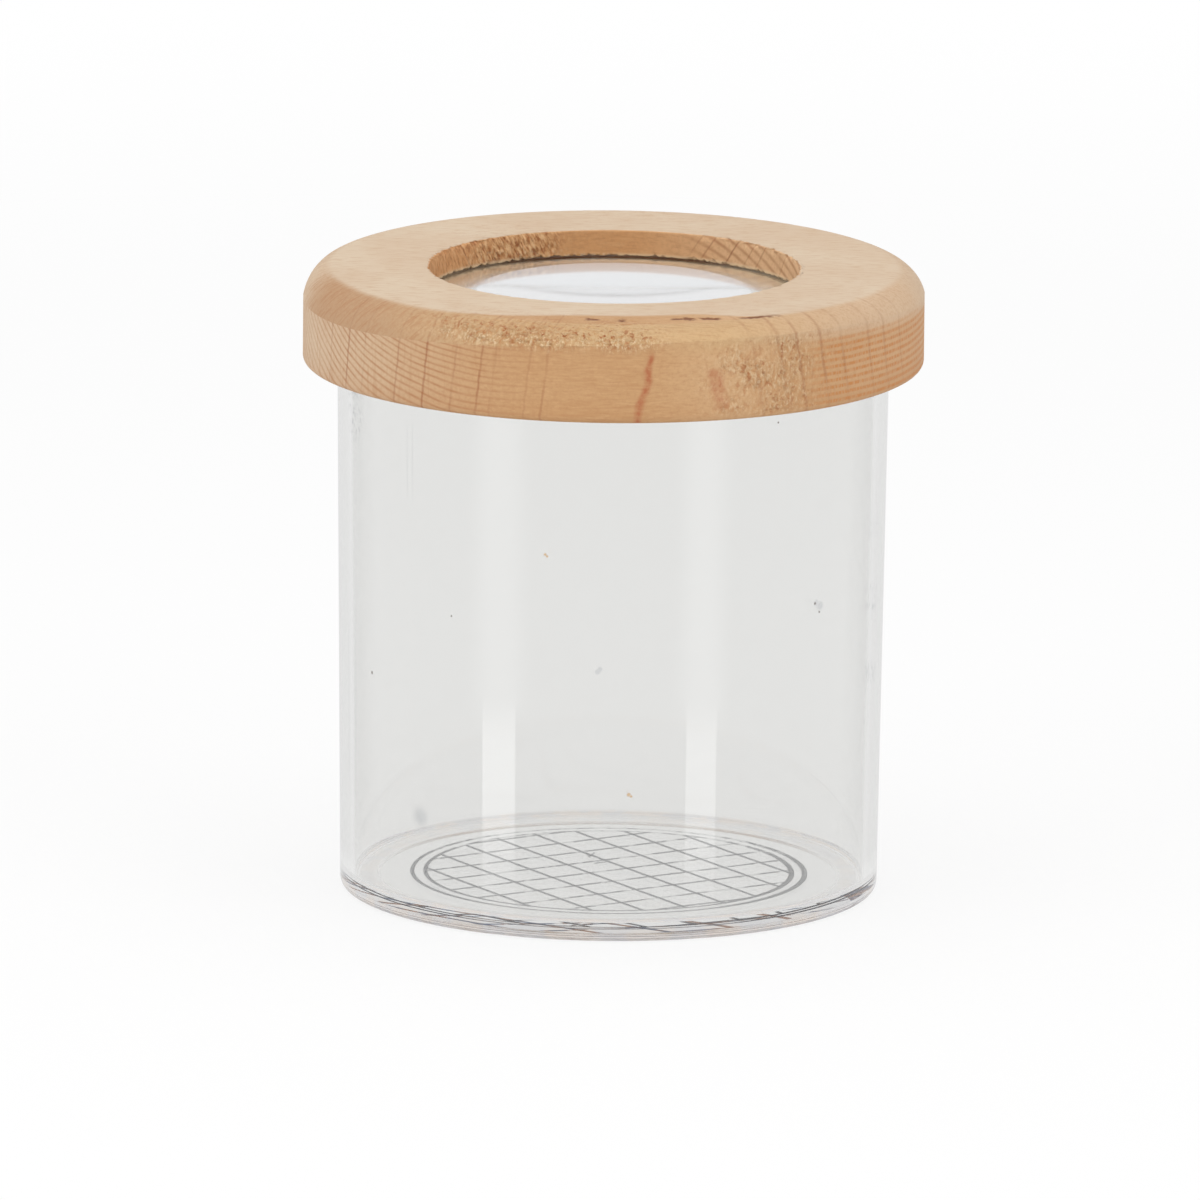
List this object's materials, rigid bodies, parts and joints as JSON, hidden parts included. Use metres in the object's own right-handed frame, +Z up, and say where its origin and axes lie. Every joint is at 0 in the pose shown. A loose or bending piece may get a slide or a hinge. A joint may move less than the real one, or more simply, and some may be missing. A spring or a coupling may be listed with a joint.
{
  "type": "bug catcher jar",
  "caption": "Clear cylindrical jar for watching insects, with a measuring grid moulded under its floor and a turned wooden lid that holds a magnifying lens over the mouth.",
  "frame": {"origin": "centre of the foot ring's lower face, on the jar's axis", "axes": "+Z up along the axis of jar and lid, X and Y along the two families of lines of the measuring grid"},
  "size_m": [0.071, 0.071, 0.0723],
  "materials": {
    "clear_jar": "clear moulded polystyrene",
    "beech": "turned and sanded beech, unvarnished",
    "clear_lens": "clear polished acrylic"
  },
  "bodies": {
    "jar": {"jar": "clear_jar"},
    "lens": {"lens": "clear_lens"},
    "lid": {"lid_ring": "beech", "lens_retaining_ring": "beech"}
  },
  "joints": [
    {"name": "lid_lift", "type": "slide", "parent": "jar", "child": "lens", "axis": [0, 0, 1], "range_m": [0, 0.06]},
    {"name": "lid_turn", "type": "hinge", "parent": "lens", "child": "lid", "pos_m": [0, 0, 0.066], "axis": [0, 0, 1], "continuous": true}
  ]
}
